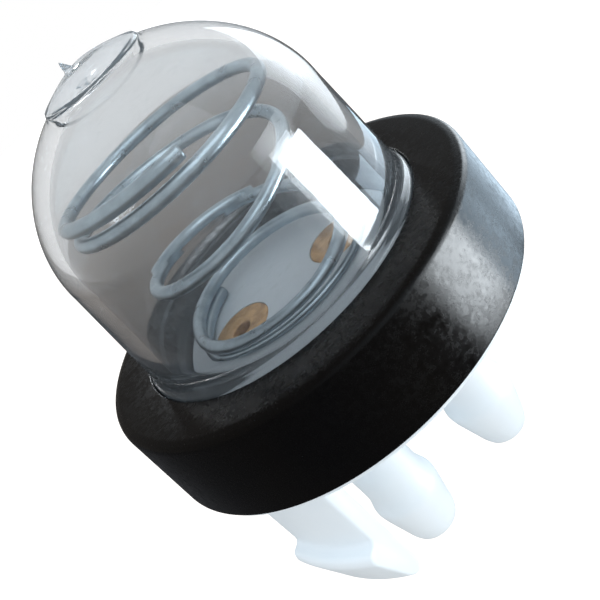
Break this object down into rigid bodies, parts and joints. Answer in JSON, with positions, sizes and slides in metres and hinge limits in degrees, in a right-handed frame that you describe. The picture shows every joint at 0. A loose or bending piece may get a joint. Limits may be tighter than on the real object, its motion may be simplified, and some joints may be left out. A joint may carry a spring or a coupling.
{
  "type": "primer bulb",
  "caption": "Snap-in primer bulb for a small petrol engine: a clear sprung dome on a base with hose nipples and snap arms, pressed by thumb to draw fuel",
  "frame": {"origin": "centre of the base's underside, the face that sits on the panel", "axes": "+Z along the bulb's axis towards its crown; the two hose nipples lie on the X axis and point down, the shorter one at +X"},
  "size_m": [0.0306, 0.0306, 0.0456],
  "materials": {
    "clear_rubber": "clear flexible moulding, slightly warm grey",
    "black_plastic": "satin black moulding",
    "white_plastic": "smooth white moulding",
    "spring_wire": "dark drawn wire",
    "brass": "dull stamped brass",
    "valve_rubber": "black rubber"
  },
  "bodies": {
    "housing": {"base": "white_plastic", "retaining_ring": "black_plastic", "inlet_insert": "brass", "outlet_insert": "brass", "inlet_valve": "valve_rubber", "outlet_valve": "valve_rubber"},
    "press": {"bulb": "clear_rubber", "spring": "spring_wire"}
  },
  "joints": [
    {"name": "bulb_press", "type": "slide", "parent": "housing", "child": "press", "axis": [0, 0, -1], "range_m": [0, 0.007], "stiffness_N_per_m": 600, "deforming": ["bulb", "spring"]}
  ]
}
